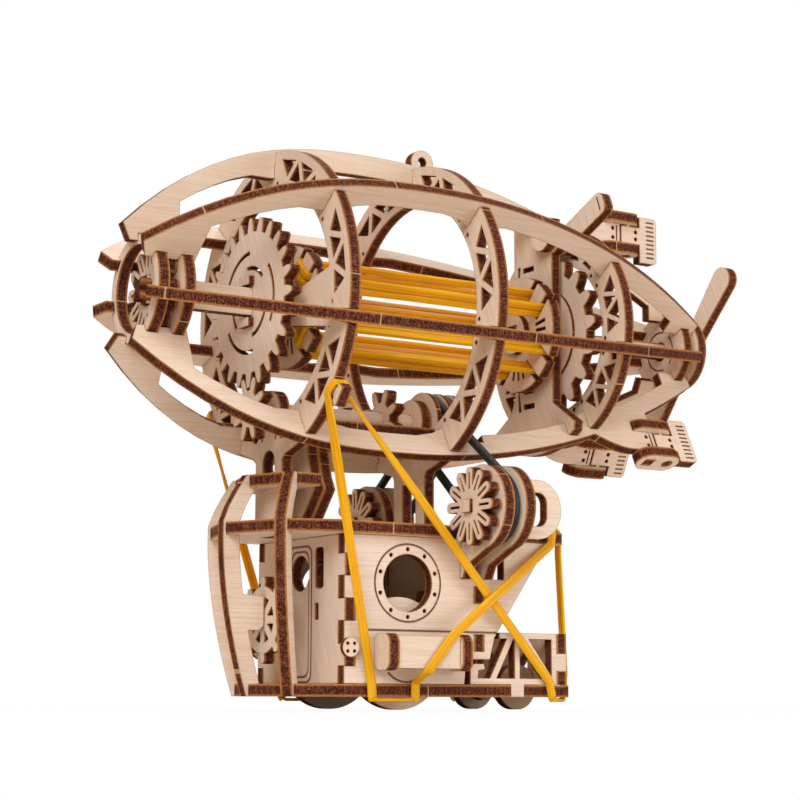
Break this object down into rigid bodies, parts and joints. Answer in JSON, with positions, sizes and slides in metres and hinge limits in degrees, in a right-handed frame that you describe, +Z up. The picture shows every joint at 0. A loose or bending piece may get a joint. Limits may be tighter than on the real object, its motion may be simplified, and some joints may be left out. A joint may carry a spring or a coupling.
{
  "type": "airship model",
  "caption": "Slotted plywood airship model: ribbed hull with rubber-band motor, gears, fans, rudders and propeller over a wheeled gondola.",
  "frame": {"origin": "on the ground under the middle of the model's box, at the bottom of the wheels", "axes": "+X from nose to tail, -Y port side, +Z up"},
  "size_m": [0.1785, 0.0826, 0.1456],
  "materials": {
    "birch_ply": "bare laser-cut birch plywood with charred edges",
    "yellow_rubber": "matt natural rubber",
    "black_rubber": "matt black rubber"
  },
  "bodies": {
    "frame": {"ring_front": "birch_ply", "ring_middle": "birch_ply", "ring_rear": "birch_ply", "stringer_top": "birch_ply", "stringer_port_upper": "birch_ply", "stringer_port_side": "birch_ply", "stringer_port_lower": "birch_ply", "stringer_starboard_lower": "birch_ply", "stringer_starboard_side": "birch_ply", "stringer_starboard_upper": "birch_ply", "nose_ring": "birch_ply", "nose_bulkhead": "birch_ply", "tail_bulkhead": "birch_ply", "tail_cap": "birch_ply", "motor_strap": "birch_ply", "keel_plate": "birch_ply", "deck": "birch_ply", "floor": "birch_ply", "roof": "birch_ply", "cabin_front_wall": "birch_ply", "cabin_rear_wall": "birch_ply", "cabin_port_wall": "birch_ply", "cabin_starboard_wall": "birch_ply", "bow_center_post": "birch_ply", "bow_corner_posts": "birch_ply", "roof_brackets": "birch_ply", "side_rails": "birch_ply", "rear_rail": "birch_ply", "tank_end_plates": "birch_ply", "tank_face_plates": "birch_ply", "tank_valves": "birch_ply", "engine_frames": "birch_ply", "engine_tails": "birch_ply", "fin_clamps": "birch_ply", "rear_axle_brackets": "birch_ply", "rubber_motor": "yellow_rubber", "rigging_bands": "yellow_rubber", "drive_belts": "black_rubber"},
    "front_rotor": {"nose_fan": "birch_ply", "front_shaft": "birch_ply", "front_gear": "birch_ply", "front_hook_disc": "birch_ply"},
    "lower_shaft": {"layshaft": "birch_ply", "layshaft_gears": "birch_ply", "layshaft_pulley": "birch_ply"},
    "port_engine_rotor": {"engine_fan_port": "birch_ply", "engine_pulley_port": "birch_ply"},
    "starboard_engine_rotor": {"engine_fan_starboard": "birch_ply", "engine_pulley_starboard": "birch_ply"},
    "tail_rotor": {"rear_hook_disc": "birch_ply", "rear_gear": "birch_ply", "tail_shaft": "birch_ply", "propeller": "birch_ply"},
    "brake": {"brake_lever": "birch_ply"},
    "top_rudder": {"rudder_top": "birch_ply"},
    "port_rudder": {"rudder_port": "birch_ply"},
    "starboard_rudder": {"rudder_starboard": "birch_ply"},
    "helm": {"helm_wheel": "birch_ply"},
    "front_wheels": {"front_wheelset": "birch_ply"},
    "rear_wheels": {"rear_wheelset": "birch_ply"}
  },
  "joints": [
    {"name": "front_drive", "type": "hinge", "parent": "frame", "child": "front_rotor", "pos_m": [-0.05325, 0, 0.0996], "axis": [1, 0, 0], "continuous": true, "deforming": ["rubber_motor"]},
    {"name": "lower_shaft_spin", "type": "hinge", "parent": "frame", "child": "lower_shaft", "pos_m": [-0.05325, 0, 0.073], "axis": [1, 0, 0], "continuous": true},
    {"name": "port_fan_spin", "type": "hinge", "parent": "frame", "child": "port_engine_rotor", "pos_m": [-0.00725, -0.0303, 0.0491], "axis": [1, 0, 0], "continuous": true},
    {"name": "starboard_fan_spin", "type": "hinge", "parent": "frame", "child": "starboard_engine_rotor", "pos_m": [-0.00345, 0.0303, 0.0491], "axis": [1, 0, 0], "continuous": true},
    {"name": "tail_drive", "type": "hinge", "parent": "frame", "child": "tail_rotor", "pos_m": [0.03675, 0, 0.0996], "axis": [1, 0, 0], "continuous": true, "deforming": ["rubber_motor"]},
    {"name": "brake_swing", "type": "hinge", "parent": "frame", "child": "brake", "pos_m": [0.03675, -0.008, 0.12537], "axis": [1, 0, 0], "range_deg": [-10, 6]},
    {"name": "top_rudder_swing", "type": "hinge", "parent": "frame", "child": "top_rudder", "pos_m": [0.06475, 0, 0.1316], "axis": [0, 0, 1], "range_deg": [-25, 25]},
    {"name": "port_rudder_swing", "type": "hinge", "parent": "frame", "child": "port_rudder", "pos_m": [0.06475, -0.01388, 0.07077], "axis": [0, -0.4339, -0.901], "range_deg": [-25, 25]},
    {"name": "starboard_rudder_swing", "type": "hinge", "parent": "frame", "child": "starboard_rudder", "pos_m": [0.06475, 0.01388, 0.07077], "axis": [0, 0.4339, -0.901], "range_deg": [-25, 25]},
    {"name": "helm_spin", "type": "hinge", "parent": "frame", "child": "helm", "pos_m": [-0.04945, 0, 0.0215], "axis": [1, 0, 0], "continuous": true},
    {"name": "front_wheels_roll", "type": "hinge", "parent": "frame", "child": "front_wheels", "pos_m": [-0.02145, 0, 0.0136], "axis": [0, 1, 0], "continuous": true},
    {"name": "rear_wheels_roll", "type": "hinge", "parent": "frame", "child": "rear_wheels", "pos_m": [0.01875, 0, 0.0057], "axis": [0, 1, 0], "continuous": true}
  ],
  "couplings": [
    {"joint": "lower_shaft_spin", "follows": "front_drive", "ratio": -3},
    {"joint": "port_fan_spin", "follows": "front_drive", "ratio": -2.4878},
    {"joint": "starboard_fan_spin", "follows": "front_drive", "ratio": -2.4878}
  ]
}
